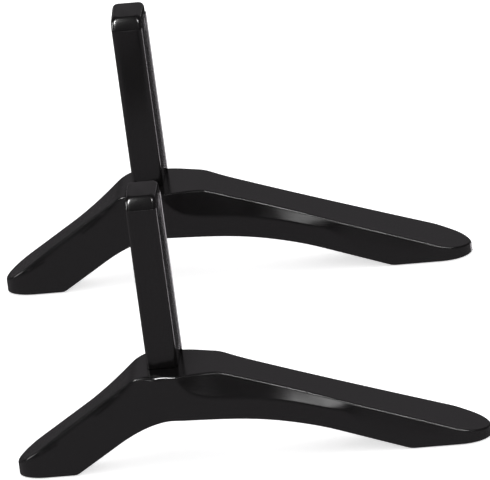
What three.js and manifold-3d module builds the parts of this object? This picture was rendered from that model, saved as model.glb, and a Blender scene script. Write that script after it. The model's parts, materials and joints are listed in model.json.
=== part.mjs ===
// A pair of stand legs for a flat-panel television. Each leg is an arched foot with a short arm and a
// long arm, and a hollow neck that rises from the flat top of the foot to the television.
// Millimetres, +Z up. The origin is on the floor, at the middle of the pair's bounding box.
//
// Each leg is drawn in its own frame first: X runs along the foot from the tip of the short arm to the
// tip of the long arm, with 0 at mid length, Y runs from the front wall (0) to the back, Z is up.

import * as THREE from 'three';
import { mergeVertices } from 'three/addons/utils/BufferGeometryUtils.js';
import Module from 'manifold-3d';

const wasm = await Module();
wasm.setup();

// ---- driving dimensions ----

const FOOT_X = [-125, 124.2];     // tips of the short arm and the long arm
const PLATEAU_Z = 54.2;           // height of the foot's flat top
const PLATEAU_X = [-57, -13.9];   // where the flat top begins and ends
const SHORT_TIP_X = -121;         // where the short arm's slope eases into its tip
const SHORT_TIP_Z = 10.6;         // height there
const SHORT_END_Z = 8.2;          // height at the very end of the short arm
const LONG_TIP_X = 111;           // where the long arm's slope eases into its tip
const LONG_TIP_Z = 8.4;
const LONG_END_Z = 6.4;
const RIM_Z = 0.6;                // the shell's rim clears the floor by this much
const ARCH_X = [-94, 82];         // the arch springs from the rim at these two places
const ARCH_FLANK_X = [-73, 45.4]; // the arch's straight flanks end here
const ARCH_FLANK_RISE = [13.8, 14];
const ARCH_TOP_Z = 28.6;          // underside of the foot at the crown of the arch

const SHORT_ARM_Y = 16.6;         // back wall of the short arm, near the plateau
const SHORT_TIP_Y = 17.6;         // back wall of the short arm, near its tip
const LONG_ARM_Y = 23.8;          // back wall of the long arm, near the plateau
const LONG_TIP_Y = 26;            // back wall of the long arm, near its tip
const PLATEAU_Y = 31.3;           // back wall behind the neck
const BULGE = 2.6;                // how far the front wall swells out in front of the neck
const BULGE_X = -33;
const BULGE_END_X = [-68, 16];    // the front wall is flat beyond these two places
const SCOOP_X = [-35.6, 44];      // the front wall is scooped out between these two places
const SCOOP_Y = 1.4;              // how far back the scoop reaches

const WALL = 2.5;                 // moulded wall
const ROOF = 3;                   // moulded top
const GAP = 0.3;                  // clearance between neighbouring pieces

const COVER_RISE = 1.6;           // the bottom cover lies this far above the rim
const COVER_THICK = 2;
const COVER_SEAT = 3;             // the cover screws' heads sit this deep inside the cover
const PLATE_THICK = 2;            // steel stiffener under the roof
const PLATE_X = [-104, 92];

const NECK_X = -43.1;             // middle of the neck
const NECK_HALF = [8.2, 8.5, 9.1]; // half width of the neck at its front, its seam and its back
const NECK_Y = [8.9, 31.1];
const NECK_TOP_Z = 153.1;
const NECK_WALL = 2.2;
const NECK_FRONT_R = 2.4;         // rounding of the neck's upright front edges
const NECK_BACK_R = 1.2;          // and of its back edges
const CAP_Z = 147.1;              // seam between the front cover and the cap above it
const CAP_ROLL = [5, 6];          // the cap's front edge rolls over by this depth and height
const CAP_CORNER_R = 3;           // rounding of the cap's two upper corners
const SEAM_Y = 27.2;              // seam between the front cover and the rear cover
const FLARE_Y = 28.9;             // the rear cover flares out to its full width from the seam to here

const CORE_HALF = [5.4, 8];       // half width and half depth of the steel tube in the neck
const CORE_WALL = 2;
const CORE_BASE = 9;              // solid block at the tube's foot that takes the neck bolts
const CORE_TOP_Z = 143;
const FIXING_Z = [98, 134];       // heights of the holes for the television's screws
const FIXING_R = 2.7;
const INSERT_R = 4;

const NECK_BOLT_Y = 4.2;          // the neck bolts stand this far either side of the tube's middle
const NECK_BOLT_R = 2.4;
const NECK_BOLT_HEAD = [3.8, 3];  // head radius and height

const COVER_SCREW_X = [-80, -20, 60];
const COVER_SCREW_R = 1.5;
const COVER_SCREW_HEAD = [3, 2];
const BOSS_R = 4.6;

const PAD_X = [[-119, -97], [84, 118]];
const PAD_THICK = 1.9;
const PAD_INSET = 1.2;            // the pads stand this far inside the shell's wall

const LEG_STEP = [-22.3, 216.7];  // the right leg stands here from the left leg, along X and Y

const REACH = 20;                 // cutting bodies reach this far past what they cut

// ---- materials ----

const satinBlack = { color: 0x1b1a1c, roughness: 0.42, metalness: 0 };
const mouldedBlack = { color: 0x202022, roughness: 0.7, metalness: 0 };
const zincSteel = { color: 0x9a9c9e, roughness: 0.4, metalness: 1 };
const blackScrew = { color: 0x2c2c2e, roughness: 0.45, metalness: 1 };
const padRubber = { color: 0x151515, roughness: 0.95, metalness: 0 };

// ---- solids from three.js geometry ----

function solid(geometry) {
  const bare = geometry.clone();
  bare.deleteAttribute('normal');
  bare.deleteAttribute('uv');
  const merged = mergeVertices(bare, 1e-4);
  return new wasm.Manifold(new wasm.Mesh({
    numProp: 3,
    vertProperties: new Float32Array(merged.attributes.position.array),
    triVerts: new Uint32Array(merged.index.array),
  }));
}

function geometryOf(body) {
  const result = body.getMesh();
  const geometry = new THREE.BufferGeometry();
  geometry.setAttribute('position', new THREE.BufferAttribute(result.vertProperties, 3));
  geometry.setIndex(new THREE.BufferAttribute(result.triVerts, 1));
  geometry.computeVertexNormals();
  return geometry;
}

// A plan outline, raised from one height to another.
function raised(shape, fromZ, toZ, curveSegments = 12) {
  const options = { depth: toZ - fromZ, bevelEnabled: false, curveSegments };
  const geometry = new THREE.ExtrudeGeometry(shape, options);
  geometry.translate(0, 0, fromZ);
  return solid(geometry);
}

// A side outline drawn in X and Z, carried across from one Y to another.
function across(shape, fromY, toY, curveSegments = 12) {
  const options = { depth: toY - fromY, bevelEnabled: false, curveSegments };
  const geometry = new THREE.ExtrudeGeometry(shape, options);
  geometry.rotateX(Math.PI / 2);
  geometry.translate(0, toY, 0);
  return solid(geometry);
}

function block(x, y, z) {
  const geometry = new THREE.BoxGeometry(x[1] - x[0], y[1] - y[0], z[1] - z[0]);
  geometry.translate((x[0] + x[1]) / 2, (y[0] + y[1]) / 2, (z[0] + z[1]) / 2);
  return solid(geometry);
}

function postAt(x, y, radius, fromZ, toZ, sides = 14) {
  const geometry = new THREE.CylinderGeometry(radius, radius, toZ - fromZ, sides);
  geometry.rotateX(Math.PI / 2);
  geometry.translate(x, y, (fromZ + toZ) / 2);
  return solid(geometry);
}

function rodAlongX(y, z, radius, fromX, toX, sides = 14) {
  const geometry = new THREE.CylinderGeometry(radius, radius, toX - fromX, sides);
  geometry.rotateZ(Math.PI / 2);
  geometry.translate((fromX + toX) / 2, y, z);
  return solid(geometry);
}

// ---- the foot's outlines ----

const { mapLinear } = THREE.MathUtils;

function topZ(x) {
  if (x < SHORT_TIP_X) return mapLinear(x, FOOT_X[0], SHORT_TIP_X, SHORT_END_Z, SHORT_TIP_Z);
  if (x > LONG_TIP_X) return mapLinear(x, LONG_TIP_X, FOOT_X[1], LONG_TIP_Z, LONG_END_Z);
  if (x < PLATEAU_X[0]) return mapLinear(x, SHORT_TIP_X, PLATEAU_X[0], SHORT_TIP_Z, PLATEAU_Z);
  if (x > PLATEAU_X[1]) return mapLinear(x, PLATEAU_X[1], LONG_TIP_X, PLATEAU_Z, LONG_TIP_Z);
  return PLATEAU_Z;
}

// The points where the top's slope changes, between two ends.
function topLine(fromX, toX, drop) {
  const corners = [SHORT_TIP_X, ...PLATEAU_X, LONG_TIP_X].filter((x) => x > fromX && x < toX);
  return [fromX, ...corners, toX].map((x) => new THREE.Vector2(x, topZ(x) - drop));
}

// The underside from the long arm back to the short arm, lifted by rise.
function addUnderside(shape, fromX, toX, rise) {
  const rim = RIM_Z + rise;
  const crown = ARCH_TOP_Z + rise;
  shape.lineTo(fromX, rim);
  shape.lineTo(ARCH_X[1], rim);
  shape.lineTo(ARCH_FLANK_X[1], rim + ARCH_FLANK_RISE[1]);
  shape.bezierCurveTo(20, crown - 4.4, -12, crown - 0.6, -36, crown);
  shape.bezierCurveTo(-48, crown, -60, crown - 5.3, ARCH_FLANK_X[0], rim + ARCH_FLANK_RISE[0]);
  shape.lineTo(ARCH_X[0], rim);
  shape.lineTo(toX, rim);
}

function sideOutline() {
  const shape = new THREE.Shape();
  const top = topLine(FOOT_X[0] - 1, FOOT_X[1] + 1, 0);
  shape.moveTo(top[0].x, top[0].y);
  top.slice(1).forEach((point) => shape.lineTo(point.x, point.y));
  addUnderside(shape, FOOT_X[1] + 1, FOOT_X[0] - 1, 0);
  shape.closePath();
  return shape;
}

// Everything lower than the top, less a roof of the given thickness.
function underRoof(drop) {
  const shape = new THREE.Shape();
  const top = topLine(...FOOT_X, drop);
  shape.moveTo(FOOT_X[0], -REACH);
  top.forEach((point) => shape.lineTo(point.x, point.y));
  shape.lineTo(FOOT_X[1], -REACH);
  shape.closePath();
  return shape;
}

// A bent strip that follows the top.
function topStrip(fromX, toX, drop, thick) {
  const upper = topLine(fromX, toX, drop);
  const lower = topLine(fromX, toX, drop + thick).reverse();
  return new THREE.Shape([...upper, ...lower]);
}

// A bent strip that follows the underside.
function undersideStrip(rise, thick) {
  const [left, right] = FOOT_X;
  const upper = new THREE.Shape();
  upper.moveTo(right, RIM_Z + rise + thick);
  addUnderside(upper, right, left, rise + thick);
  const lower = new THREE.Shape();
  lower.moveTo(right, RIM_Z + rise);
  addUnderside(lower, right, left, rise);
  const points = [...upper.getPoints(8), ...lower.getPoints(8).reverse()];
  return new THREE.Shape(points);
}

// The foot seen from above, with every wall moved in by inset.
function planOutline(inset) {
  const front = inset;
  const left = FOOT_X[0] + inset;
  const right = FOOT_X[1] - inset;
  const shortBack = SHORT_ARM_Y - inset;
  const shortTipBack = SHORT_TIP_Y - inset;
  const longBack = LONG_ARM_Y - inset;
  const longTipBack = LONG_TIP_Y - inset;
  const neckBack = PLATEAU_Y - inset;
  const shape = new THREE.Shape();
  shape.moveTo(left + 15, front);
  shape.lineTo(BULGE_END_X[0], front);
  shape.bezierCurveTo(-58, front, -50, front - 0.3, -44, front - 0.9);
  shape.bezierCurveTo(-40, front - 1.3, -38, front - BULGE, BULGE_X, front - BULGE);
  shape.bezierCurveTo(-16, front - BULGE, -4, front, BULGE_END_X[1], front);
  shape.lineTo(right - 16.2, front);
  shape.bezierCurveTo(right - 7.7, front + 0.2, right - 1.7, front + 3.5, right, front + 10);
  shape.bezierCurveTo(right - 0.5, longTipBack - 11, right - 9, longTipBack + 0.6, right - 22, longTipBack);
  shape.bezierCurveTo(64, longTipBack - 1.6, 30, longBack - 0.4, 0, longBack);
  shape.bezierCurveTo(-18, longBack + 0.6, -24, neckBack - 1.7, -34, neckBack - 1);
  shape.lineTo(-48, neckBack);
  shape.bezierCurveTo(-56, neckBack - 0.6, -66, shortBack + 1, -84, shortBack);
  shape.lineTo(left + 13, shortTipBack);
  shape.bezierCurveTo(left + 6, shortTipBack, left, shortTipBack - 3, left, front + 8.5);
  shape.bezierCurveTo(left, front + 4, left + 6, front, left + 15, front);
  return shape;
}

// The long arm's front wall is scooped out above this line, where the bulge ends.
function scoop() {
  const [fromX, toX] = SCOOP_X;
  const face = new THREE.Shape();
  face.moveTo(fromX, PLATEAU_Z + 1);
  face.lineTo(fromX, PLATEAU_Z - 1);
  face.bezierCurveTo(-31.5, 44, -27, 39.4, -14, 38.2);
  face.bezierCurveTo(8, 37, 16, 34.6, toX, 27.4);
  face.lineTo(toX + REACH, PLATEAU_Z + 1);
  face.closePath();
  const ahead = -BULGE - 1;
  const plan = new THREE.Shape();
  plan.moveTo(fromX - 2, ahead);
  plan.lineTo(fromX - 0.8, -BULGE);
  plan.bezierCurveTo(-30, SCOOP_Y - 0.8, -24, SCOOP_Y + 0.2, -14, SCOOP_Y + 0.1);
  plan.bezierCurveTo(2, SCOOP_Y - 0.2, 20, SCOOP_Y - 1.2, toX, -0.2);
  plan.lineTo(toX + 2, ahead);
  plan.closePath();
  return across(face, ahead, SCOOP_Y + 1).intersect(raised(plan, 0, PLATEAU_Z + 2));
}

// ---- the pieces of one leg ----

const neckMiddle = [NECK_X, (NECK_Y[0] + NECK_Y[1]) / 2];
const acrossNeck = [NECK_X - REACH, NECK_X + REACH];

function insideShell(body) {
  return body.intersect(raised(planOutline(WALL + GAP), 0, PLATEAU_Z, 7));
}

function coreSection(grow) {
  const [halfX, halfY] = CORE_HALF;
  const [x, y] = neckMiddle;
  return [[x - halfX - grow, x + halfX + grow], [y - halfY - grow, y + halfY + grow]];
}

function footShell() {
  const outer = across(sideOutline(), -BULGE - 1, PLATEAU_Y + 1)
    .intersect(raised(planOutline(0), -1, PLATEAU_Z + 1))
    .subtract(scoop());
  const cavity = across(underRoof(ROOF), -BULGE - 1, PLATEAU_Y + 1)
    .intersect(raised(planOutline(WALL), -REACH - 1, PLATEAU_Z + 1, 7));
  const coverTopZ = ARCH_TOP_Z + COVER_RISE + COVER_THICK;
  const keepRoundScoop = block(
    [SCOOP_X[0] - WALL, BULGE_END_X[1] + WALL], [-BULGE - 1, SCOOP_Y + WALL], [coverTopZ + GAP, PLATEAU_Z],
  );
  const [x, y] = coreSection(GAP);
  const neckOpening = block(x, y, [PLATEAU_Z - ROOF - 1, PLATEAU_Z + 1]);
  return outer.subtract(cavity.subtract(keepRoundScoop)).subtract(neckOpening);
}

function stiffener() {
  const strip = across(topStrip(...PLATE_X, ROOF + GAP, PLATE_THICK), -BULGE, PLATEAU_Y);
  const clearOfScoop = block(FOOT_X, [SCOOP_Y + WALL + GAP, PLATEAU_Y], [0, PLATEAU_Z]);
  let plate = insideShell(strip).intersect(clearOfScoop);
  for (const side of [-1, 1]) {
    const y = neckMiddle[1] + side * NECK_BOLT_Y;
    plate = plate.subtract(postAt(neckMiddle[0], y, NECK_BOLT_R + GAP, 0, PLATEAU_Z));
  }
  for (const x of COVER_SCREW_X) {
    plate = plate.subtract(postAt(x, screwY(x), COVER_SCREW_R + GAP, 0, PLATEAU_Z));
  }
  return plate;
}

// The cover's screws stand on the arm's centre line.
function screwY(x) {
  return x < PLATEAU_X[0] ? SHORT_ARM_Y / 2 + 1 : LONG_ARM_Y / 2 + 0.5;
}

// The underside's height on the arch's flanks. Between them it counts as the crown.
function undersideZ(x) {
  const [left, right] = ARCH_FLANK_X;
  if (x < left) return mapLinear(x, ARCH_X[0], left, RIM_Z, RIM_Z + ARCH_FLANK_RISE[0]);
  if (x > right) return mapLinear(x, right, ARCH_X[1], RIM_Z + ARCH_FLANK_RISE[1], RIM_Z);
  return ARCH_TOP_Z;
}

function bottomCover() {
  const strip = across(undersideStrip(COVER_RISE, COVER_THICK), -BULGE, PLATEAU_Y);
  const belowRoof = across(underRoof(ROOF + GAP), -BULGE, PLATEAU_Y);
  let cover = insideShell(strip).intersect(belowRoof);
  for (const x of COVER_SCREW_X) {
    const y = screwY(x);
    const floorZ = undersideZ(x) + COVER_RISE;
    const seatZ = floorZ + COVER_SEAT + COVER_SCREW_HEAD[1];
    const bossTop = topZ(x) - ROOF - PLATE_THICK - 3 * GAP - BOSS_R * 0.7;
    cover = cover.add(postAt(x, y, BOSS_R, floorZ + 1, bossTop));
    cover = cover.subtract(postAt(x, y, COVER_SCREW_R + GAP, 0, PLATEAU_Z));
    cover = cover.subtract(postAt(x, y, COVER_SCREW_HEAD[0] + GAP, 0, seatZ));
  }
  return cover;
}

// A screw standing head down.
function screw(x, y, headZ, tipZ, shank, [headRadius, headHeight]) {
  const profile = [
    [0, 0], [headRadius - 0.5, 0], [headRadius, 0.5], [headRadius, headHeight],
    [shank, headHeight], [shank, tipZ - headZ - 0.8], [shank - 0.7, tipZ - headZ], [0, tipZ - headZ],
  ].map(([radius, height]) => new THREE.Vector2(radius, height));
  const geometry = new THREE.LatheGeometry(profile, 14);
  geometry.rotateX(Math.PI / 2);
  geometry.translate(x, y, headZ);
  const driveSocket = postAt(x, y, headRadius * 0.5, headZ - 1, headZ + headHeight * 0.55, 6);
  return solid(geometry).subtract(driveSocket);
}

function coverScrew(index) {
  const x = COVER_SCREW_X[index];
  const headZ = undersideZ(x) + COVER_RISE + COVER_SEAT - GAP;
  return screw(x, screwY(x), headZ, topZ(x) - ROOF - GAP - 0.6, COVER_SCREW_R, COVER_SCREW_HEAD);
}

function neckBolt(side) {
  const headZ = PLATEAU_Z - ROOF - 2 * GAP - PLATE_THICK - NECK_BOLT_HEAD[1];
  const tipZ = PLATEAU_Z - ROOF + CORE_BASE - 2;
  const y = neckMiddle[1] + side * NECK_BOLT_Y;
  return screw(neckMiddle[0], y, headZ, tipZ, NECK_BOLT_R, NECK_BOLT_HEAD);
}

function pad([fromX, toX]) {
  const slab = block([fromX, toX], [-BULGE, PLATEAU_Y], [0, PAD_THICK]);
  return slab.intersect(raised(planOutline(WALL + PAD_INSET), -1, PAD_THICK + 1, 7));
}

function neckCore() {
  const bottom = PLATEAU_Z - ROOF;
  const [x, y] = coreSection(0);
  let tube = block(x, y, [bottom, CORE_TOP_Z]);
  const [boreX, boreY] = coreSection(-CORE_WALL);
  tube = tube.subtract(block(boreX, boreY, [bottom + CORE_BASE, CORE_TOP_Z + 1]));
  for (const side of [-1, 1]) {
    const boltY = neckMiddle[1] + side * NECK_BOLT_Y;
    tube = tube.subtract(postAt(neckMiddle[0], boltY, NECK_BOLT_R + GAP, bottom - 1, bottom + CORE_BASE + 1));
  }
  for (const z of FIXING_Z) {
    tube = tube.subtract(rodAlongX(neckMiddle[1], z, FIXING_R, acrossNeck[0], NECK_X));
  }
  return tube;
}

// A threaded insert behind each fixing hole takes the television's screw.
function fixingInsert(z) {
  const length = 2 * (CORE_HALF[0] - CORE_WALL - GAP);
  const profile = [
    [FIXING_R, 0], [INSERT_R, 0], [INSERT_R, length], [FIXING_R, length], [FIXING_R, 0],
  ].map(([radius, height]) => new THREE.Vector2(radius, height));
  const geometry = new THREE.LatheGeometry(profile, 14);
  geometry.rotateZ(-Math.PI / 2);
  geometry.translate(neckMiddle[0] - length / 2, neckMiddle[1], z);
  return solid(geometry);
}

// The neck's section. Behind the seam it is wider, but the cap on top of it is not.
function neckPlan(backHalf) {
  const [front, seam] = NECK_HALF;
  const [y0, y1] = NECK_Y;
  const frontR = NECK_FRONT_R;
  const backR = NECK_BACK_R;
  const shape = new THREE.Shape();
  shape.absarc(NECK_X + front - frontR, y0 + frontR, frontR, -Math.PI / 2, 0, false);
  shape.lineTo(NECK_X + seam, SEAM_Y);
  shape.lineTo(NECK_X + backHalf, FLARE_Y);
  shape.absarc(NECK_X + backHalf - backR, y1 - backR, backR, 0, Math.PI / 2, false);
  shape.absarc(NECK_X - backHalf + backR, y1 - backR, backR, Math.PI / 2, Math.PI, false);
  shape.lineTo(NECK_X - backHalf, FLARE_Y);
  shape.lineTo(NECK_X - seam, SEAM_Y);
  shape.absarc(NECK_X - front + frontR, y0 + frontR, frontR, Math.PI, 1.5 * Math.PI, false);
  shape.closePath();
  return shape;
}

function neckOuter(topOfPiece) {
  return raised(neckPlan(NECK_HALF[2]), PLATEAU_Z + GAP, topOfPiece, 4);
}

function withFixingHoles(cover) {
  const holes = FIXING_Z.map((z) => rodAlongX(neckMiddle[1], z, FIXING_R, acrossNeck[0], NECK_X));
  return holes.reduce((body, hole) => body.subtract(hole), cover);
}

function neckBore(topOfBore) {
  const half = NECK_HALF[0] - NECK_WALL;
  const y = [NECK_Y[0] + NECK_WALL, NECK_Y[1] - NECK_WALL];
  return block([NECK_X - half, NECK_X + half], y, [PLATEAU_Z - 1, topOfBore]);
}

function neckFrontCover() {
  const frontPart = block(acrossNeck, [NECK_Y[0] - 1, SEAM_Y - GAP / 2], [0, NECK_TOP_Z]);
  return withFixingHoles(neckOuter(CAP_Z - GAP).subtract(neckBore(CAP_Z + 1)).intersect(frontPart));
}

// The neck seen from its side: the rear cover runs up into a cap whose front edge rolls over.
function neckSide() {
  const [rollDepth, rollHeight] = CAP_ROLL;
  const seam = SEAM_Y + GAP / 2;
  const side = new THREE.Shape();
  side.moveTo(seam, 0);
  side.lineTo(NECK_Y[1] + 1, 0);
  side.lineTo(NECK_Y[1] + 1, NECK_TOP_Z);
  side.lineTo(NECK_Y[0] + rollDepth, NECK_TOP_Z);
  side.absellipse(
    NECK_Y[0] + rollDepth, NECK_TOP_Z - rollHeight, rollDepth, rollHeight,
    Math.PI / 2, Math.PI, false, 0,
  );
  side.lineTo(seam, CAP_Z);
  side.closePath();
  const options = { depth: 2 * REACH, bevelEnabled: false, curveSegments: 6 };
  const geometry = new THREE.ExtrudeGeometry(side, options);
  geometry.rotateX(Math.PI / 2);
  geometry.rotateZ(Math.PI / 2);
  geometry.translate(acrossNeck[0], 0, 0);
  return solid(geometry);
}

// The neck seen from its front, with its two upper corners rounded.
function neckFront() {
  const half = NECK_HALF[1];
  const r = CAP_CORNER_R;
  const shape = new THREE.Shape();
  shape.moveTo(NECK_X - half, 0);
  shape.lineTo(NECK_X + half, 0);
  shape.absarc(NECK_X + half - r, NECK_TOP_Z - r, r, 0, Math.PI / 2, false);
  shape.absarc(NECK_X - half + r, NECK_TOP_Z - r, r, Math.PI / 2, Math.PI, false);
  shape.closePath();
  return across(shape, NECK_Y[0] - 1, NECK_Y[1] + 1, 5);
}

function neckRearCover() {
  const cap = raised(neckPlan(NECK_HALF[1]), CAP_Z, NECK_TOP_Z, 4).intersect(neckFront());
  const behindSeam = block(acrossNeck, [SEAM_Y - 1, NECK_Y[1]], [0, NECK_TOP_Z]);
  const bore = neckBore(NECK_TOP_Z - CAP_ROLL[1]).intersect(behindSeam);
  return neckOuter(CAP_Z).add(cap).intersect(neckSide()).subtract(bore);
}

// ---- assembly ----

const pieces = [
  ['foot_shell', satinBlack, footShell()],
  ['stiffener_plate', zincSteel, stiffener()],
  ['bottom_cover', mouldedBlack, bottomCover()],
  ['cover_screw_1', blackScrew, coverScrew(0)],
  ['cover_screw_2', blackScrew, coverScrew(1)],
  ['cover_screw_3', blackScrew, coverScrew(2)],
  ['short_arm_pad', padRubber, pad(PAD_X[0])],
  ['long_arm_pad', padRubber, pad(PAD_X[1])],
  ['neck_core', zincSteel, neckCore()],
  ['neck_front_cover', satinBlack, neckFrontCover()],
  ['neck_rear_cover', satinBlack, neckRearCover()],
  ['neck_bolt_1', zincSteel, neckBolt(-1)],
  ['neck_bolt_2', zincSteel, neckBolt(1)],
  ['lower_insert', zincSteel, fixingInsert(FIXING_Z[0])],
  ['upper_insert', zincSteel, fixingInsert(FIXING_Z[1])],
];

function leg(side, x, y) {
  const legGroup = new THREE.Group();
  for (const [name, finish, body] of pieces) {
    const mesh = new THREE.Mesh(geometryOf(body), new THREE.MeshStandardMaterial(finish));
    mesh.name = `${side}_${name}`;
    legGroup.add(mesh);
  }
  legGroup.position.set(x, y, 0);
  return legGroup;
}

const middle = [(FOOT_X[0] + FOOT_X[1]) / 2, (PLATEAU_Y - BULGE) / 2];
const group = new THREE.Group();
group.add(leg('left', -LEG_STEP[0] / 2 - middle[0], -LEG_STEP[1] / 2 - middle[1]));
group.add(leg('right', LEG_STEP[0] / 2 - middle[0], LEG_STEP[1] / 2 - middle[1]));

export default group;
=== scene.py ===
import json
import math

import bmesh
import bpy
import numpy as np
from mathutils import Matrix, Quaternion, Vector


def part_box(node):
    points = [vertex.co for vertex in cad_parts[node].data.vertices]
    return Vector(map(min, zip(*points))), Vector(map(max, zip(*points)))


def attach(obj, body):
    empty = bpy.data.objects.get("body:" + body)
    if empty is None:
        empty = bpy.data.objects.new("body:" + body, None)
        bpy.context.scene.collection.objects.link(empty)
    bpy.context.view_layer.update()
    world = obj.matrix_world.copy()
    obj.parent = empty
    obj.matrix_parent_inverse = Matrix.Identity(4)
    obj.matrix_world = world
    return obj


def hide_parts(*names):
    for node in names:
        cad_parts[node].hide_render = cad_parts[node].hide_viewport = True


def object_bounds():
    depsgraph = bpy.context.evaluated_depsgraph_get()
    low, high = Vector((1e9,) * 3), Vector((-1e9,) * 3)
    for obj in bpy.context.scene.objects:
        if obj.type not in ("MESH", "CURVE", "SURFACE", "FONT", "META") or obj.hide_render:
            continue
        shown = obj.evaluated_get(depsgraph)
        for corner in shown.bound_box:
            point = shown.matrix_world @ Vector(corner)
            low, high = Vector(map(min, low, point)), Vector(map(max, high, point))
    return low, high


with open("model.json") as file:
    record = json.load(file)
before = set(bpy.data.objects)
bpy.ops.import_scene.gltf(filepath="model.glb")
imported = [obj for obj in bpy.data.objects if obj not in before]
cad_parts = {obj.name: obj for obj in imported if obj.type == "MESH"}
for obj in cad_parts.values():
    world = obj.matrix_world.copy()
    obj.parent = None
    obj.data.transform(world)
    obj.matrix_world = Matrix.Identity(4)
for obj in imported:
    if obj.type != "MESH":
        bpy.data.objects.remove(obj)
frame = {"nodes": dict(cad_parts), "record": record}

# Looks for a pair of television stand legs. Each leg's shell and neck covers are rebuilt as fine meshes
# in millimetres, in the leg's own frame: X along the foot from the short arm to the long arm, Y from the
# front wall (0) to the back, Z up. The other pieces are the CAD nodes with finished materials.

cad_low, cad_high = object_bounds()
MM = 0.001
SIDES = ("left", "right")

# ---- the foot's driving dimensions, in millimetres ----

SHORT_END = -125.0
LONG_END = 124.2
BULGE = 2.6              # the front wall stands this far out in front of the neck
WALL = 2.5
ROOF = 3.0
INSIDE_MIN = 1.0         # the hollow inside is at least this high at the tips
EDGE_R = 0.8             # rounding of the top edges
RIM_R = 0.35             # rounding of the rim's outer edge
FACET = 2.4              # the front wall's set-back part is at least this high
SUPPORT = 0.15           # a line of vertices this far beyond each rounding keeps the flats flat
SPLIT_MARGIN = 0.3       # the line where the front wall starts to lie back keeps this far from its edges

# In front of the neck the top edge's rounding is wider: places along X, and how much wider.
PLATEAU_EDGE = ((-58, -54, -38, -35), (0, 0.8, 0.8, 0))
# At one place it is wider still, like a small hollow.
HOLLOW_X = -47.3
HOLLOW_WIDTH = 3.0
HOLLOW_DEPTH = 0.9
HOLLOW_REACH = 0.4       # the hollow's extra reach inwards, as a share of the rounding
# How the wall lies back above its line: places along X, and a power, where 1 is straight and more is hollow.
LEAN_POWER = ((-60, -36, -10, 40, 62), (1.0, 0.9, 0.95, 1.0, 1.8))

# ---- the neck's driving dimensions, in millimetres ----

NECK_X = -43.1
NECK_HALF = (8.2, 8.5, 9.1)   # half width at the front, at the seam and behind the seam
NECK_Y = (8.9, 31.1)
NECK_MIDDLE_Y = sum(NECK_Y) / 2
NECK_Z = (54.5, 153.1)
NECK_WALL = 2.2
FRONT_R = 2.4
BACK_R = 1.2
CAP_Z = 147.1
CAP_ROLL = (5.0, 6.0)    # depth and height of the cap's rolled front edge
CAP_ROUND = 0.35         # the share of that edge that is round
CAP_CHAMFER = 0.65       # the share of it that is a flat chamfer
CAP_CROWN = 0.6
CAP_SIDE_R = 3.0
CAP_BACK_R = 1.2
FLARE_STOP = 0.1         # the rear cover's flare ends this far below the cap
SEAM_Y = 27.2
FLARE_Y = 28.9           # behind the seam the rear cover flares out up to here
SEAM_GAP = 0.3
COVER_EDGE_R = 0.25      # rounding of the covers' cut edges
FIXING_Z = (98.0, 134.0)
FIXING_R = 2.7
CORE_HALF = (5.7, 8.3)   # half width and half depth of the opening for the steel core
CORE_HOLE_Z = (45, 60)   # that opening is cut between these heights

# Cutting bodies for the neck's covers reach past the neck on every side.
CUT_REACH = 20           # either side of its middle, along X
CUT_FRONT_Y = 0
CUT_BACK_Y = 40
CUT_LOW_Z = 40
CUT_HIGH_Z = 160
REAR_BORE_Y = 10         # the rear cover's bore starts here, in front of its seam
BORE_CLEARANCE = 0.01    # and stops this far below the cap

# ---- fineness of the meshes ----

CURVE_STEPS = 24
SHORT_TIP = 12           # length of the short tip's close stations
LONG_TIP = 15            # and of the long tip's
NECK_SPAN = (-64, 4)     # the foot's part around the neck, also with close stations
TIP_STATIONS = 15
SHORT_ARM_STATIONS = 32
NECK_STATIONS = 80
LONG_ARM_STATIONS = 70
EDGE_TURNS = np.linspace(75, 0, 6)        # degrees, down the rounding of the top edge
UPPER_WALL_SHARES = np.linspace(0, 1, 10)
LOWER_WALL_SHARES = np.linspace(0, 1, 9)[1:]
RIM_TURNS = (0, 30, 60, 90)               # degrees, down the rounding of the rim
INNER_WALL_SHARES = (0.05, 0.5, 1)
SHEET_COLUMNS = 8        # faces across the foot's top and across its inner roof
CORNER_POINTS = 9
FRONT_POINTS = 13
NECK_LEVELS = 12
CAP_LEVELS = 22

WELD_DISTANCE = 1e-6     # metres
SMOOTH_ANGLE = 32        # degrees; a sharper edge is shaded as an edge
COVER_SMOOTH_ANGLE = 15
CAD_SMOOTH_ANGLE = 35
ROUNDED_ANGLE = 40       # a sharper edge is rounded
ROUNDED_SEGMENTS = 3


# ---- outlines ----

def outline(start, *runs):
    """Points from start along straight runs, given as one point, and Bezier curves, given as three."""
    points = [np.array(start, float)]
    for run in runs:
        if not isinstance(run[0], tuple):
            points.append(np.array(run, float))
            continue
        a = points[-1]
        b, c, d = (np.array(p, float) for p in run)
        for t in np.linspace(0, 1, CURVE_STEPS + 1)[1:]:
            s = 1 - t
            points.append(s ** 3 * a + 3 * s * s * t * b + 3 * s * t * t * c + t ** 3 * d)
    return np.array(points)


# The front and the back wall from above, as X and Y.
FRONT = outline(
    (SHORT_END, 8.5), ((-125, 4), (-119, 0), (-110, 0)), (-68, 0),
    ((-58, 0), (-50, -0.3), (-44, -0.9)), ((-40, -1.3), (-38, -BULGE), (-33, -BULGE)),
    ((-16, -BULGE), (-4, 0), (16, 0)),
    (108, 0), ((116.5, 0.2), (122.5, 3.5), (LONG_END, 10)),
)
BACK = outline(
    (SHORT_END, 8.5), ((-125, 14.6), (-119, 17.6), (-112, 17.6)), (-84, 16.6),
    ((-66, 17.6), (-56, 30.7), (-48, 31.3)), (-34, 30.3),
    ((-24, 29.6), (-18, 24.4), (0, 23.8)), ((30, 23.4), (64, 24.4), (102.2, 26)),
    ((115.2, 26.6), (123.7, 15), (LONG_END, 10)),
)
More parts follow.
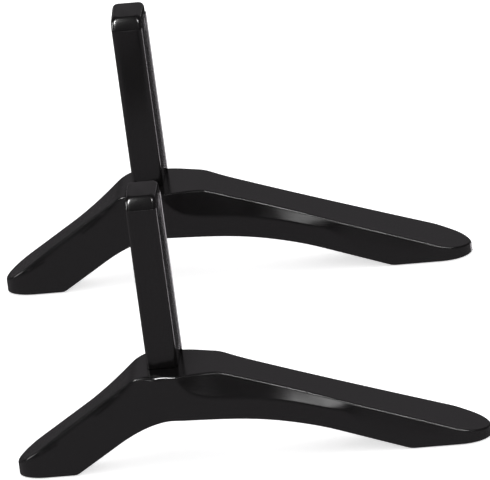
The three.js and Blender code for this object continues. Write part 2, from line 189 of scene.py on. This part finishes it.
# The top and the arched underside from the front, as X and Z.
TOP = outline(
    (SHORT_END, 8.1), ((-123.6, 8.9), (-122.4, 9.6), (-121, 10.6)), (-62.5, 50.45),
    ((-59.8, 52.3), (-57.5, 54.2), (-51.5, 54.2)), (-17.5, 54.2),
    ((-15, 54.2), (-12.6, 53.75), (-10.5, 52.95)), (106, 10.23),
    ((109, 9.1), (112, 8.3), (115, 7.8)), (LONG_END, 6.4),
)
UNDERSIDE = outline(
    (SHORT_END, 0.6), (-95.5, 0.6), ((-94.2, 0.6), (-93.6, 0.86), (-92.6, 1.52)), (-73, 14.4),
    ((-60, 23.3), (-48, 28.6), (-36, 28.6)), ((-12, 28), (20, 24.2), (45.4, 14.6)),
    (80, 1.36), ((81.4, 0.8), (82.4, 0.6), (84, 0.6)), (LONG_END, 0.6),
)
# The front wall's upper part lies back along both arms: how far, at the top edge.
LEAN = outline(
    (SHORT_END, 0), (-119, 0), ((-112, 0.2), (-105, 1.55), (-95, 1.6)),
    ((-84, 1.6), (-74, 0.9), (-66, 0.4)), (-57, 0), (-36.2, 0),
    ((-34.5, 0), (-31, 1.75), (-22, 2.1)), ((-14, 2.3), (-8, 1.5), (2, 1.2)),
    ((10, 1.1), (20, 1.65), (32, 1.7)), ((44, 1.7), (50, 0.8), (60, 0.5)), (86, 0.4),
    ((96, 0.4), (102, 0), (112, 0)), (LONG_END, 0),
)
# The line along the front wall above which it lies back.
SCOOP = outline(
    (SHORT_END, 60), (-36.2, 60), (-36, 53.8), ((-33, 48), (-29, 43), (-19, 40.6)),
    ((-8, 38.2), (4, 37.2), (15.8, 35.1)), (26.2, 32.8), (36.5, 29.8), (46.8, 26.4),
    ((56, 22.5), (60, 12), (70, 8)), (112, 4.5), (LONG_END, 4.5),
)


def read(curve, x):
    """The outline's second coordinate at x."""
    return np.interp(x, curve[:, 0], curve[:, 1])


def stations():
    """Places along the foot, close together where its outline turns."""
    turn = 1 - np.cos(np.linspace(0, math.pi / 2, TIP_STATIONS))
    short_tip = SHORT_END + SHORT_TIP * turn
    long_tip = (LONG_END - LONG_TIP * turn)[::-1]
    neck_start, neck_end = NECK_SPAN
    middle = np.linspace(short_tip[-1], neck_start, SHORT_ARM_STATIONS)[1:]
    neck = np.linspace(neck_start, neck_end, NECK_STATIONS)[1:]
    arm = np.linspace(neck_end, long_tip[0], LONG_ARM_STATIONS)[1:-1]
    return np.concatenate([short_tip, middle, neck, arm, long_tip])


# ---- meshes ----

def make_piece(name, vertices, faces, side):
    """A mesh given in millimetres in a leg's frame, moved to where that leg stands."""
    low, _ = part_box(f"{side}_foot_shell")
    origin = Vector((low.x - SHORT_END * MM, low.y + BULGE * MM, 0))
    mesh = bpy.data.meshes.new(f"{side}_{name}")
    mesh.from_pydata([tuple(Vector(v) * MM + origin) for v in vertices], [], [tuple(f) for f in faces])
    mesh.validate()
    piece = bpy.data.objects.new(f"{side}_{name}", mesh)
    bpy.context.scene.collection.objects.link(piece)
    return piece


def clean(piece, angle=SMOOTH_ANGLE):
    """Welds the mesh, points its faces out and shades it smooth up to an angle."""
    work = bmesh.new()
    work.from_mesh(piece.data)
    bmesh.ops.remove_doubles(work, verts=work.verts, dist=WELD_DISTANCE)
    bmesh.ops.recalc_face_normals(work, faces=work.faces)
    work.to_mesh(piece.data)
    work.free()
    piece.data.polygons.foreach_set("use_smooth", [True] * len(piece.data.polygons))
    piece.data.set_sharp_from_angle(angle=math.radians(angle))


def apply_modifiers(piece):
    graph = bpy.context.evaluated_depsgraph_get()
    mesh = bpy.data.meshes.new_from_object(piece.evaluated_get(graph))
    piece.modifiers.clear()
    piece.data = mesh


def cut(piece, tools):
    """Cuts the tools out of the piece, and removes them."""
    for tool in tools:
        step = piece.modifiers.new("cut", "BOOLEAN")
        step.operation = "DIFFERENCE"
        step.solver = "EXACT"
        step.object = tool
        apply_modifiers(piece)
        bpy.data.objects.remove(tool)


def soften(piece, width):
    """Rounds the piece's sharp edges by a small width in millimetres."""
    step = piece.modifiers.new("edges", "BEVEL")
    step.width = width * MM
    step.segments = ROUNDED_SEGMENTS
    step.limit_method = "ANGLE"
    step.angle_limit = math.radians(ROUNDED_ANGLE)
    apply_modifiers(piece)


def box_tool(side, x, y, z):
    corners = [(a, b, c) for a in x for b in y for c in z]
    faces = [(0, 1, 3, 2), (4, 6, 7, 5), (0, 4, 5, 1), (2, 3, 7, 6), (0, 2, 6, 4), (1, 5, 7, 3)]
    tool = make_piece("tool", corners, faces, side)
    clean(tool)
    return tool


def rod_tool(side, y, z, radius, x, sides=32):
    turn = np.linspace(0, 2 * math.pi, sides, endpoint=False)
    ring = [(y + radius * math.cos(a), z + radius * math.sin(a)) for a in turn]
    vertices = [(end, *point) for end in x for point in ring]
    faces = [(i, (i + 1) % sides, sides + (i + 1) % sides, sides + i) for i in range(sides)]
    faces += [tuple(range(sides)), tuple(range(sides, 2 * sides))]
    tool = make_piece("tool", vertices, faces, side)
    clean(tool)
    return tool


def skin(ring_count, size):
    """Faces that join each ring of vertices to the next."""
    faces = []
    for k in range(ring_count - 1):
        for i in range(size):
            j = (i + 1) % size
            faces.append((k * size + i, k * size + j, (k + 1) * size + j, (k + 1) * size + i))
    return faces


# ---- the foot shell ----

def lean_back(x, z):
    """How far the front wall lies back at a height."""
    top = read(TOP, x)
    start = np.minimum(read(SCOOP, x), top - FACET)
    rise = np.clip((z - start) / (top - start), 0, 1)
    return read(LEAN, x) * rise ** np.interp(x, *LEAN_POWER)


def inner_roof(x, under):
    """Height of the shell's inner roof where its top is read at x, and its underside is given."""
    return np.maximum(read(TOP, x) - ROOF, under + INSIDE_MIN)


def around(front, back):
    """Values round the foot: along the front wall, and returning along the back wall."""
    return np.concatenate([front, back[-2:0:-1]])


def foot_rings():
    """The shell's skin as rings of points, from the top over the walls and the rim to the inner roof."""
    x = stations()
    ring_x = around(x, x)
    ring_y = around(read(FRONT, x) + read(LEAN, x), read(BACK, x))
    is_front = around(np.ones(len(x)), np.zeros(len(x)))
    line = np.stack([ring_x, ring_y], 1)
    along = np.roll(line, -1, 0) - np.roll(line, 1, 0)
    along /= np.linalg.norm(along, axis=1)[:, None]
    out = np.stack([along[:, 1], -along[:, 0]], 1)
    ring_top = read(TOP, ring_x)
    ring_under = read(UNDERSIDE, ring_x)

    def moved_in(inset):
        return ring_x - out[:, 0] * inset

    def ring(inset, z):
        """The wall line moved in by inset at heights z. The front wall's line depends on the height."""
        shift = (lean_back(ring_x, z) - read(LEAN, ring_x)) * is_front
        return np.stack([moved_in(inset), ring_y - out[:, 1] * inset + shift, z], 1)

    # The rounding widens into a small hollow between the neck's front corner and the edge.
    hollow = np.exp(-((ring_x - HOLLOW_X) / HOLLOW_WIDTH) ** 2) * is_front
    edge = EDGE_R + HOLLOW_DEPTH * hollow + is_front * np.interp(ring_x, *PLATEAU_EDGE)
    reach = 1 + HOLLOW_REACH * hollow
    rings = []
    for inset in (edge * reach + SUPPORT, edge * reach):
        rings.append(ring(inset, read(TOP, moved_in(inset))))
    for turn in EDGE_TURNS:
        a = math.radians(turn)
        inset = edge * (1 - math.cos(a)) * reach
        rings.append(ring(inset, read(TOP, moved_in(inset)) - edge * (1 - math.sin(a))))

    # The walls have a line of vertices where the front wall starts to lie back.
    wall_top = ring_top - edge - SUPPORT
    wall_foot = ring_under + RIM_R + SUPPORT
    front_split = np.minimum(read(SCOOP, ring_x), ring_top - FACET)
    split = np.where(is_front > 0, front_split, (ring_top + ring_under) / 2)
    split = np.clip(split, wall_foot + SPLIT_MARGIN, wall_top - SPLIT_MARGIN)
    for share in UPPER_WALL_SHARES:
        rings.append(ring(0, wall_top + (split - wall_top) * share))
    for share in LOWER_WALL_SHARES:
        rings.append(ring(0, split + (wall_foot - split) * share))

    for turn in RIM_TURNS:
        a = math.radians(turn)
        rings.append(ring(RIM_R * (1 - math.cos(a)), ring_under + RIM_R * (1 - math.sin(a))))
    rings.append(ring(WALL, ring_under))
    inner_top = inner_roof(moved_in(WALL), ring_under)
    for share in INNER_WALL_SHARES:
        rings.append(ring(WALL, ring_under + (inner_top - ring_under) * share))
    return rings


def fill_ring(vertices, faces, first, size, height):
    """Fills the foot's ring that starts at vertex first with a sheet at the given height."""
    count = size // 2 + 1
    rows = {}
    for i in range(1, count - 1):
        a = first + i
        b = first + size - i
        pa = np.array(vertices[a])
        pb = np.array(vertices[b])
        row = [a]
        for m in range(1, SHEET_COLUMNS):
            p = pa + (pb - pa) * m / SHEET_COLUMNS
            vertices.append((p[0], p[1], float(height(p[0]))))
            row.append(len(vertices) - 1)
        rows[i] = row + [b]
    for i in range(1, count - 2):
        for m in range(SHEET_COLUMNS):
            faces.append((rows[i][m], rows[i + 1][m], rows[i + 1][m + 1], rows[i][m + 1]))
    for end, i in ((first, 1), (first + count - 1, count - 2)):
        for m in range(SHEET_COLUMNS):
            faces.append((end, rows[i][m], rows[i][m + 1]))


def foot_shell(side):
    rings = foot_rings()
    size = len(rings[0])
    vertices = [tuple(p) for ring in rings for p in ring]
    faces = skin(len(rings), size)
    fill_ring(vertices, faces, 0, size, lambda x: read(TOP, x))
    last = (len(rings) - 1) * size
    fill_ring(vertices, faces, last, size, lambda x: inner_roof(x, read(UNDERSIDE, x)))

    shell = make_piece("shell", vertices, faces, side)
    clean(shell)
    hole = box_tool(
        side,
        (NECK_X - CORE_HALF[0], NECK_X + CORE_HALF[0]),
        (NECK_MIDDLE_Y - CORE_HALF[1], NECK_MIDDLE_Y + CORE_HALF[1]),
        CORE_HOLE_Z,
    )
    cut(shell, [hole])
    clean(shell)
    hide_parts(f"{side}_foot_shell")
    return shell


# ---- the neck's covers ----

def neck_ring(z, back_half):
    """The neck's section at a height, from the front right corner round to the front left one."""
    front_depth, front_height = CAP_ROLL
    roll = max(0.0, z - (NECK_Z[1] - front_height)) / front_height

    def inset(depth, height):
        rise = max(0.0, z - (NECK_Z[1] - height)) / height
        return depth * (1 - math.sqrt(max(0.0, 1 - rise * rise)))

    # The cap's front edge is part flat chamfer and part round, and crowned from side to side.
    y0 = NECK_Y[0] + CAP_ROUND * inset(front_depth, front_height) + CAP_CHAMFER * front_depth * roll
    y1 = NECK_Y[1] - inset(CAP_BACK_R, CAP_BACK_R)
    side_inset = inset(CAP_SIDE_R, CAP_SIDE_R)
    front_half = NECK_HALF[0] - side_inset
    seam_half = NECK_HALF[1] - side_inset
    back_half = back_half - side_inset

    def arc(sign, half, y, r, start):
        centre = sign * (half - r)
        turns = np.radians(np.linspace(start, start + 90, CORNER_POINTS))
        return [(centre + r * math.cos(a), y + r * math.sin(a)) for a in turns]

    points = arc(1, front_half, y0 + FRONT_R, FRONT_R, -90)
    points += [(front_half, y0 + FRONT_R + SUPPORT), (seam_half, SEAM_Y), (back_half, FLARE_Y)]
    points += arc(1, back_half, y1 - BACK_R, BACK_R, 0)
    points += arc(-1, back_half, y1 - BACK_R, BACK_R, 90)
    points += [(-back_half, FLARE_Y), (-seam_half, SEAM_Y), (-front_half, y0 + FRONT_R + SUPPORT)]
    points += arc(-1, front_half, y0 + FRONT_R, FRONT_R, 180)
    points += [(x, y0) for x in np.linspace(points[-1][0], points[0][0], FRONT_POINTS)[1:-1]]
    ring = []
    for x, y in points:
        from_front = min(1.0, max(0.0, (NECK_MIDDLE_Y - y) / (NECK_MIDDLE_Y - y0)))
        ring.append((NECK_X + x, y + CAP_CROWN * roll * from_front * (x / NECK_HALF[0]) ** 2, z))
    return ring


def lofted(name, rings, side):
    """A closed solid through rings of points."""
    size = len(rings[0])
    vertices = [p for ring in rings for p in ring]
    faces = skin(len(rings), size)
    faces.append(tuple(range(size)))
    faces.append(tuple(range((len(rings) - 1) * size, len(rings) * size)))
    piece = make_piece(name, vertices, faces, side)
    clean(piece)
    return piece


def neck_slice(side, y_range, top):
    """A cutting body across the whole neck within a range of Y, up to a height."""
    return box_tool(side, (NECK_X - CUT_REACH, NECK_X + CUT_REACH), y_range, (CUT_LOW_Z, top))


def neck_bore(side, y_range, top):
    """A cutting body for the neck's hollow within a range of Y, up to a height."""
    half = NECK_HALF[0] - NECK_WALL
    return box_tool(side, (NECK_X - half, NECK_X + half), y_range, (CUT_LOW_Z, top))


def neck_rear_cover(side):
    """The flared back plate and the cap."""
    straight = np.linspace(NECK_Z[0], CAP_Z - FLARE_STOP, NECK_LEVELS)
    turn = np.linspace(0, math.pi / 2, CAP_LEVELS)[1:]
    rolled = NECK_Z[1] - CAP_ROLL[1] * (1 - np.sin(turn))
    rings = [neck_ring(z, NECK_HALF[2]) for z in straight]
    rings += [neck_ring(z, NECK_HALF[1]) for z in (CAP_Z, *rolled)]
    cover = lofted("neck_back", rings, side)
    cut(cover, [
        neck_slice(side, (CUT_FRONT_Y, SEAM_Y + SEAM_GAP / 2), CAP_Z),
        neck_bore(side, (REAR_BORE_Y, NECK_Y[1] - NECK_WALL), CAP_Z - BORE_CLEARANCE),
    ])
    soften(cover, COVER_EDGE_R)
    clean(cover, COVER_SMOOTH_ANGLE)
    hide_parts(f"{side}_neck_rear_cover")
    return cover


def neck_front_cover(side):
    """The deep U between the foot and the cap, with the two fixing holes."""
    section = neck_ring(NECK_Z[0], NECK_HALF[2])
    levels = np.linspace(NECK_Z[0], CAP_Z - SEAM_GAP, NECK_LEVELS)
    cover = lofted("neck_front", [[(x, y, z) for x, y, _ in section] for z in levels], side)
    tools = [
        neck_slice(side, (SEAM_Y - SEAM_GAP / 2, CUT_BACK_Y), CUT_HIGH_Z),
        neck_bore(side, (NECK_Y[0] + NECK_WALL, CUT_BACK_Y), CUT_HIGH_Z),
    ]
    tools += [rod_tool(side, NECK_MIDDLE_Y, z, FIXING_R, (NECK_X - CUT_REACH, NECK_X)) for z in FIXING_Z]
    cut(cover, tools)
    soften(cover, COVER_EDGE_R)
    clean(cover, COVER_SMOOTH_ANGLE)
    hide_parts(f"{side}_neck_front_cover")
    return cover


# ---- materials ----

NOISE_LOW = 0.36         # the noise that drives colour and roughness mostly stays between these
NOISE_HIGH = 0.64
GRAIN_DETAIL = 3
PATCH_DETAIL = 2


def material(name, colours, roughness, bump, grain_scale, patch_scale, metallic=0.0, specular=0.5):
    """A material whose colour, roughness and relief vary at a fine grain and over wide soft patches.

    Colours and roughness are given as a low and a high value, and bump as a strength and a depth in metres.
    """
    made = bpy.data.materials.new(name)
    made.use_nodes = True
    nodes = made.node_tree.nodes
    link = made.node_tree.links.new
    shader = nodes["Principled BSDF"]
    shader.inputs["Metallic"].default_value = metallic
    shader.inputs["Specular IOR Level"].default_value = specular
    place = nodes.new("ShaderNodeTexCoord")

    def noise(scale, detail):
        made_noise = nodes.new("ShaderNodeTexNoise")
        made_noise.inputs["Scale"].default_value = scale
        made_noise.inputs["Detail"].default_value = detail
        link(place.outputs["Object"], made_noise.inputs["Vector"])
        return made_noise.outputs["Fac"]

    grain = noise(grain_scale, GRAIN_DETAIL)
    patches = noise(patch_scale, PATCH_DETAIL)
    both = nodes.new("ShaderNodeMath")
    both.operation = "ADD"
    link(grain, both.inputs[0])
    link(patches, both.inputs[1])
    halved = nodes.new("ShaderNodeMath")
    halved.operation = "MULTIPLY"
    halved.inputs[1].default_value = 0.5
    link(both.outputs[0], halved.inputs[0])

    colour = nodes.new("ShaderNodeValToRGB")
    for mark, position, rgb in zip(colour.color_ramp.elements, (NOISE_LOW, NOISE_HIGH), colours):
        mark.position = position
        mark.color = (*rgb, 1)
    link(halved.outputs[0], colour.inputs["Fac"])
    link(colour.outputs["Color"], shader.inputs["Base Color"])

    rough = nodes.new("ShaderNodeMapRange")
    rough.inputs["From Min"].default_value = NOISE_LOW
    rough.inputs["From Max"].default_value = NOISE_HIGH
    rough.inputs["To Min"].default_value = roughness[0]
    rough.inputs["To Max"].default_value = roughness[1]
    link(halved.outputs[0], rough.inputs["Value"])
    link(rough.outputs["Result"], shader.inputs["Roughness"])

    relief = nodes.new("ShaderNodeBump")
    relief.inputs["Strength"].default_value = bump[0]
    relief.inputs["Distance"].default_value = bump[1]
    link(grain, relief.inputs["Height"])
    link(relief.outputs["Normal"], shader.inputs["Normal"])
    return made


MATERIALS = {
    "satin_black": material(
        "satin_black", colours=((0.0048, 0.0044, 0.0046), (0.0054, 0.0050, 0.0052)),
        roughness=(0.17, 0.21), bump=(0.05, 0.00001), grain_scale=3200, patch_scale=30,
    ),
    "moulded_black": material(
        "moulded_black", colours=((0.012, 0.012, 0.0125), (0.02, 0.02, 0.0205)),
        roughness=(0.6, 0.72), bump=(0.5, 0.00006), grain_scale=1400, patch_scale=35, specular=0.3,
    ),
    "zinc_steel": material(
        "zinc_steel", colours=((0.48, 0.49, 0.5), (0.66, 0.67, 0.68)),
        roughness=(0.28, 0.46), bump=(0.15, 0.00002), grain_scale=700, patch_scale=60, metallic=1.0,
    ),
    "black_screw": material(
        "black_screw", colours=((0.02, 0.02, 0.022), (0.05, 0.05, 0.053)),
        roughness=(0.3, 0.5), bump=(0.2, 0.00002), grain_scale=900, patch_scale=150, metallic=0.8,
    ),
    "pad_rubber": material(
        "pad_rubber", colours=((0.012, 0.012, 0.012), (0.022, 0.022, 0.022)),
        roughness=(0.8, 0.95), bump=(0.5, 0.00008), grain_scale=1100, patch_scale=50, specular=0.2,
    ),
}


def finish_cad_nodes():
    """Gives each CAD node that stays in view the material of its slot, and soft edges."""
    for row in frame["record"]["subparts"]:
        node = frame["nodes"][row["node"]]
        node.data.materials.clear()
        node.data.materials.append(MATERIALS[row["material_slot"]])
        node.data.set_sharp_from_angle(angle=math.radians(CAD_SMOOTH_ANGLE))


# ---- the object ----

for leg in SIDES:
    for build in (foot_shell, neck_rear_cover, neck_front_cover):
        made_piece = build(leg)
        made_piece.data.materials.clear()
        made_piece.data.materials.append(MATERIALS["satin_black"])
        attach(made_piece, f"{leg}_leg")
finish_cad_nodes()


# ---- floor ----

FLOOR_REACH = 60.0       # metres, so that its far edge stays out of every view
FLOOR_GLOW = 0.7         # the floor is lit from beneath too, which keeps shadows pale


def floor():
    mesh = bpy.data.meshes.new("floor")
    corners = [(-FLOOR_REACH, -FLOOR_REACH, 0), (FLOOR_REACH, -FLOOR_REACH, 0),
               (FLOOR_REACH, FLOOR_REACH, 0), (-FLOOR_REACH, FLOOR_REACH, 0)]
    mesh.from_pydata(corners, [], [(0, 1, 2, 3)])
    slab = bpy.data.objects.new("floor", mesh)
    bpy.context.scene.collection.objects.link(slab)
    mesh.materials.append(material(
        "pale_floor", colours=((0.86, 0.86, 0.86), (0.9, 0.9, 0.9)),
        roughness=(0.8, 0.9), bump=(0.02, 0.0001), grain_scale=300, patch_scale=3, specular=0.0,
    ))
    shader = mesh.materials[0].node_tree.nodes["Principled BSDF"]
    shader.inputs["Emission Color"].default_value = (1, 1, 1, 1)
    shader.inputs["Emission Strength"].default_value = FLOOR_GLOW
    slab.visible_glossy = False


# ---- light ----

def sun(name, direction, strength, size_degrees, accent=True):
    """A distant soft light from a direction. An accent only makes highlights, and a fill makes none."""
    lamp = bpy.data.lights.new(name, "SUN")
    lamp.energy = strength
    lamp.angle = math.radians(size_degrees)
    holder = bpy.data.objects.new(name, lamp)
    holder.rotation_mode = "QUATERNION"
    holder.rotation_quaternion = Vector(direction).to_track_quat("Z", "Y")
    holder.visible_glossy = accent
    holder.visible_diffuse = not accent
    bpy.context.scene.collection.objects.link(holder)


# The studio's brightness by the sine of the height above the horizon, in front and at the back.
# Only reflections see the part below the floor.
SKY_FRONT = (
    (-0.4, 0.3), (-0.27, 0.12), (-0.2, 0.0), (-0.085, 0.0), (-0.055, 1.06), (-0.034, 1.06),
    (-0.02, 0.12), (0.03, 0.06), (0.3, 0.08),
)
SKY_BACK = (
    (-0.4, 0.03), (-0.085, 0.0), (-0.055, 1.06), (-0.034, 1.06),
    (-0.02, 0.12), (0.03, 0.07), (0.12, 0.08), (0.3, 0.08),
)
FRONT_TO_BACK = (0.3, 0.7)   # the front gives way to the back between these values of Y
TINT = (1.02, 0.97, 1.02)
# Pale cards that show in reflections: direction, half width in degrees and brightness.
CARDS = (
    ((0.646, 0.625, -0.438), 7, 5.0),
    ((0.1, 0.9, 0.44), 40, 0.16),
)
CARD_CORE = 1 / 3            # the share of a card's half width that has its full brightness
# A Mix node's sockets for colours.
MIX_A = 6
MIX_B = 7
MIX_RESULT = 2


def sky():
    """A dim studio with a pale band at the horizon and a few cards."""
    world = bpy.data.worlds.new("studio")
    bpy.context.scene.world = world
    world.use_nodes = True
    nodes = world.node_tree.nodes
    link = world.node_tree.links.new
    place = nodes.new("ShaderNodeTexCoord")
    split = nodes.new("ShaderNodeSeparateXYZ")
    link(place.outputs["Generated"], split.inputs["Vector"])

    def mapped(value, from_min, from_max, to_max=1.0):
        step = nodes.new("ShaderNodeMapRange")
        step.interpolation_type = "SMOOTHSTEP"
        step.inputs["From Min"].default_value = from_min
        step.inputs["From Max"].default_value = from_max
        step.inputs["To Max"].default_value = to_max
        link(value, step.inputs["Value"])
        return step.outputs["Result"]

    # A colour ramp runs from 0 to 1, so the height, from -1 to 1, is halved and lifted.
    height = nodes.new("ShaderNodeMath")
    height.operation = "MULTIPLY_ADD"
    height.inputs[1].default_value = 0.5
    height.inputs[2].default_value = 0.5
    link(split.outputs["Z"], height.inputs[0])

    def gradient(levels):
        ramp = nodes.new("ShaderNodeValToRGB")
        link(height.outputs["Value"], ramp.inputs["Fac"])
        marks = ramp.color_ramp.elements
        while len(marks) < len(levels):
            marks.new(0.5)
        for mark, (rise, brightness) in zip(marks, levels):
            mark.position = (rise + 1) / 2
            mark.color = (*(brightness * t for t in TINT), 1)
        return ramp.outputs["Color"]

    both = nodes.new("ShaderNodeMix")
    both.data_type = "RGBA"
    link(mapped(split.outputs["Y"], *FRONT_TO_BACK), both.inputs["Factor"])
    link(gradient(SKY_FRONT), both.inputs[MIX_A])
    link(gradient(SKY_BACK), both.inputs[MIX_B])
    link(both.outputs[MIX_RESULT], nodes["Background"].inputs["Color"])

    light = nodes["Background"].outputs["Background"]
    for direction, half_width, brightness in CARDS:
        facing = nodes.new("ShaderNodeVectorMath")
        facing.operation = "DOT_PRODUCT"
        facing.inputs[1].default_value = Vector(direction).normalized()
        link(place.outputs["Generated"], facing.inputs[0])
        edge = math.cos(math.radians(half_width))
        core = math.cos(math.radians(half_width * CARD_CORE))
        card = nodes.new("ShaderNodeBackground")
        card.inputs["Color"].default_value = (*TINT, 1)
        link(mapped(facing.outputs["Value"], edge, core, brightness), card.inputs["Strength"])
        total = nodes.new("ShaderNodeAddShader")
        link(light, total.inputs[0])
        link(card.outputs["Background"], total.inputs[1])
        light = total.outputs["Shader"]
    link(light, nodes["World Output"].inputs["Surface"])


# ---- camera ----

CAMERA_TURN = 7.087      # degrees, from looking straight along +Y
CAMERA_DOWN = 26.0
CAMERA_ROLL = -7.8
CAMERA_AWAY = 11.0       # metres
CAMERA_CLIP = 200        # metres
TARGET_OFFSET = (0.0015, 0.0398)   # metres, from the middle of the pair
TARGET_Z = 0.0494
SENSOR_WIDTH = 36        # millimetres
PIXELS_PER_METRE = 1894.5
IMAGE_WIDTH = 490


def camera():
    middle = (cad_low + cad_high) / 2
    target = Vector((middle.x + TARGET_OFFSET[0], middle.y + TARGET_OFFSET[1], TARGET_Z))
    turn = math.radians(CAMERA_TURN)
    down = math.radians(CAMERA_DOWN)
    back = Vector((math.sin(turn) * math.cos(down), -math.cos(turn) * math.cos(down), math.sin(down)))
    data = bpy.data.cameras.new("camera")
    data.sensor_width = SENSOR_WIDTH
    data.lens = SENSOR_WIDTH * PIXELS_PER_METRE * CAMERA_AWAY / IMAGE_WIDTH
    data.clip_end = CAMERA_CLIP
    holder = bpy.data.objects.new("camera", data)
    holder.location = target + back * CAMERA_AWAY
    holder.rotation_mode = "QUATERNION"
    roll = Quaternion((0, 0, 1), math.radians(CAMERA_ROLL))
    holder.rotation_quaternion = (-back).to_track_quat("-Z", "Y") @ roll
    bpy.context.scene.collection.objects.link(holder)
    bpy.context.scene.camera = holder


floor()
sky()
sun("overhead", (0.1, -0.12, 1.0), 2.2, 110, accent=False)
sun("upper_left", (-0.42, -0.46, 0.8), 3.0, 14)
sun("upper_right", (0.36, -0.45, 0.82), 0.9, 9)
sun("left", (-0.93, -0.05, 0.36), 0.9, 16)
sun("low_front", (-0.03, -0.99, 0.08), 0.25, 13)
camera()
bpy.context.scene.view_settings.view_transform = "Standard"
